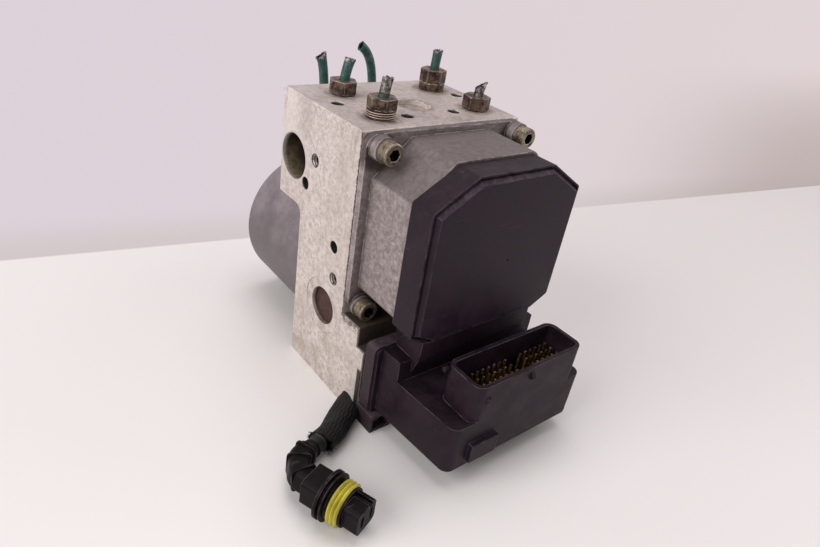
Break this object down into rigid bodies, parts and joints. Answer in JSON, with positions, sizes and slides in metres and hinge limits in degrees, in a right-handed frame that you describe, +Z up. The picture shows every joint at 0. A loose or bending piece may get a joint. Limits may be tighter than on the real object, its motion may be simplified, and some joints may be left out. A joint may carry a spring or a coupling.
{
  "type": "anti-lock brake hydraulic unit",
  "caption": "Anti-lock brake hydraulic unit: stepped aluminium valve block, round pump motor, octagonal control cap, upright plug socket, cut brake pipes and a loose motor plug.",
  "frame": {"origin": "middle of the footprint without the motor lead, on the face the unit stands on", "axes": "X across the block, +Y from the control cap towards the pump motor, +Z up towards the brake line ports"},
  "size_m": [0.1458, 0.1962, 0.1635],
  "materials": {
    "cast_block": "machined, weathered",
    "cast_housing": "die-cast, weathered",
    "black_plastic": "glass-filled nylon",
    "cover_plastic": "glass-filled nylon",
    "plate_plastic": "glass-filled nylon",
    "paper_gasket": "gasket",
    "brown_seal": "foam rubber",
    "screw_steel": "zinc plated, worn",
    "steel": "bright",
    "spring_steel": "drawn",
    "copper_coil": "wound coil",
    "board_green": "circuit board",
    "pin_brass": "tarnished",
    "motor_paint": "dark grey paint, mottled",
    "magnet": "ferrite",
    "core_steel": "laminated",
    "commutator_copper": "copper",
    "brown_plastic": "phenolic",
    "carbon": "carbon",
    "plug_red": "corroded",
    "ring_alu": "staked",
    "nut_steel": "olive zinc, rusting",
    "pipe_green": "green coated steel",
    "black_rubber": "matte",
    "sleeve_black": "braided sleeve",
    "lead_grey": "taped lead",
    "plug_plastic": "nylon",
    "seal_yellow": "silicone"
  },
  "bodies": {
    "hydraulic_unit": {"hydraulic_block": "cast_block", "coil_housing": "cast_housing", "housing_gasket": "paper_gasket", "housing_screws": "screw_steel", "valve_cartridges": "steel", "plunger_springs": "spring_steel", "solenoid_coils": "copper_coil", "control_housing": "black_plastic", "mounting_plate": "plate_plastic", "mounting_seal": "brown_seal", "foot_screws": "screw_steel", "control_cover": "cover_plastic", "circuit_board": "board_green", "coil_terminals": "pin_brass", "connector_pins": "pin_brass", "motor_can": "motor_paint", "motor_end_plate": "steel", "motor_bearings": "steel", "motor_magnets": "magnet", "brush_carrier": "brown_plastic", "motor_brushes": "carbon", "brush_springs": "spring_steel", "pump_sleeves": "steel", "pump_springs": "spring_steel", "pump_plugs": "plug_red", "plug_rings": "ring_alu", "accumulator_springs": "spring_steel", "accumulator_caps": "ring_alu", "sealing_balls": "steel", "top_plug": "ring_alu", "line_nuts": "nut_steel", "cut_pipes": "pipe_green", "back_fittings": "nut_steel", "back_pipes": "pipe_green", "lead_grommet": "black_rubber", "motor_lead": "lead_grey", "lead_sleeve": "sleeve_black", "plug_elbow": "plug_plastic", "plug_body": "plug_plastic", "plug_seal": "seal_yellow", "plug_terminals": "pin_brass"},
    "rotor": {"armature": "core_steel", "commutator": "commutator_copper", "motor_shaft": "steel", "cam_ring": "steel"},
    "left_piston": {"pump_piston_left": "steel"},
    "right_piston": {"pump_piston_right": "steel"},
    "left_accumulator": {"accumulator_piston_left": "ring_alu", "accumulator_ring_left": "black_rubber"},
    "right_accumulator": {"accumulator_piston_right": "ring_alu", "accumulator_ring_right": "black_rubber"},
    "outlet_valve_1": {"outlet_plunger_1": "steel"},
    "outlet_valve_2": {"outlet_plunger_2": "steel"},
    "outlet_valve_3": {"outlet_plunger_3": "steel"},
    "outlet_valve_4": {"outlet_plunger_4": "steel"},
    "inlet_valve_1": {"inlet_plunger_1": "steel"},
    "inlet_valve_2": {"inlet_plunger_2": "steel"},
    "inlet_valve_3": {"inlet_plunger_3": "steel"},
    "inlet_valve_4": {"inlet_plunger_4": "steel"}
  },
  "joints": [
    {"name": "motor_spin", "type": "hinge", "parent": "hydraulic_unit", "child": "rotor", "pos_m": [0, 0.0015, 0.0445], "axis": [0, 1, 0], "continuous": true},
    {"name": "left_piston_slide", "type": "slide", "parent": "hydraulic_unit", "child": "left_piston", "axis": [-1, 0, 0], "range_m": [0, 0.003], "stiffness_N_per_m": 200, "springref_m": -0.005, "deforming": ["pump_springs"]},
    {"name": "right_piston_slide", "type": "slide", "parent": "hydraulic_unit", "child": "right_piston", "axis": [1, 0, 0], "range_m": [0, 0.003], "stiffness_N_per_m": 200, "springref_m": -0.005, "deforming": ["pump_springs"]},
    {"name": "left_accumulator_slide", "type": "slide", "parent": "hydraulic_unit", "child": "left_accumulator", "axis": [0, 0, -1], "range_m": [0, 0.008], "stiffness_N_per_m": 300, "springref_m": -0.01, "deforming": ["accumulator_springs"]},
    {"name": "right_accumulator_slide", "type": "slide", "parent": "hydraulic_unit", "child": "right_accumulator", "axis": [0, 0, -1], "range_m": [0, 0.008], "stiffness_N_per_m": 300, "springref_m": -0.01, "deforming": ["accumulator_springs"]},
    {"name": "outlet_valve_1_slide", "type": "slide", "parent": "hydraulic_unit", "child": "outlet_valve_1", "axis": [0, -1, 0], "range_m": [0, 0.0004], "stiffness_N_per_m": 100, "springref_m": -0.004, "deforming": ["plunger_springs"]},
    {"name": "outlet_valve_2_slide", "type": "slide", "parent": "hydraulic_unit", "child": "outlet_valve_2", "axis": [0, -1, 0], "range_m": [0, 0.0004], "stiffness_N_per_m": 100, "springref_m": -0.004, "deforming": ["plunger_springs"]},
    {"name": "outlet_valve_3_slide", "type": "slide", "parent": "hydraulic_unit", "child": "outlet_valve_3", "axis": [0, -1, 0], "range_m": [0, 0.0004], "stiffness_N_per_m": 100, "springref_m": -0.004, "deforming": ["plunger_springs"]},
    {"name": "outlet_valve_4_slide", "type": "slide", "parent": "hydraulic_unit", "child": "outlet_valve_4", "axis": [0, -1, 0], "range_m": [0, 0.0004], "stiffness_N_per_m": 100, "springref_m": -0.004, "deforming": ["plunger_springs"]},
    {"name": "inlet_valve_1_slide", "type": "slide", "parent": "hydraulic_unit", "child": "inlet_valve_1", "axis": [0, -1, 0], "range_m": [0, 0.0004], "stiffness_N_per_m": 100, "springref_m": -0.004, "deforming": ["plunger_springs"]},
    {"name": "inlet_valve_2_slide", "type": "slide", "parent": "hydraulic_unit", "child": "inlet_valve_2", "axis": [0, -1, 0], "range_m": [0, 0.0004], "stiffness_N_per_m": 100, "springref_m": -0.004, "deforming": ["plunger_springs"]},
    {"name": "inlet_valve_3_slide", "type": "slide", "parent": "hydraulic_unit", "child": "inlet_valve_3", "axis": [0, -1, 0], "range_m": [0, 0.0004], "stiffness_N_per_m": 100, "springref_m": -0.004, "deforming": ["plunger_springs"]},
    {"name": "inlet_valve_4_slide", "type": "slide", "parent": "hydraulic_unit", "child": "inlet_valve_4", "axis": [0, -1, 0], "range_m": [0, 0.0004], "stiffness_N_per_m": 100, "springref_m": -0.004, "deforming": ["plunger_springs"]}
  ]
}
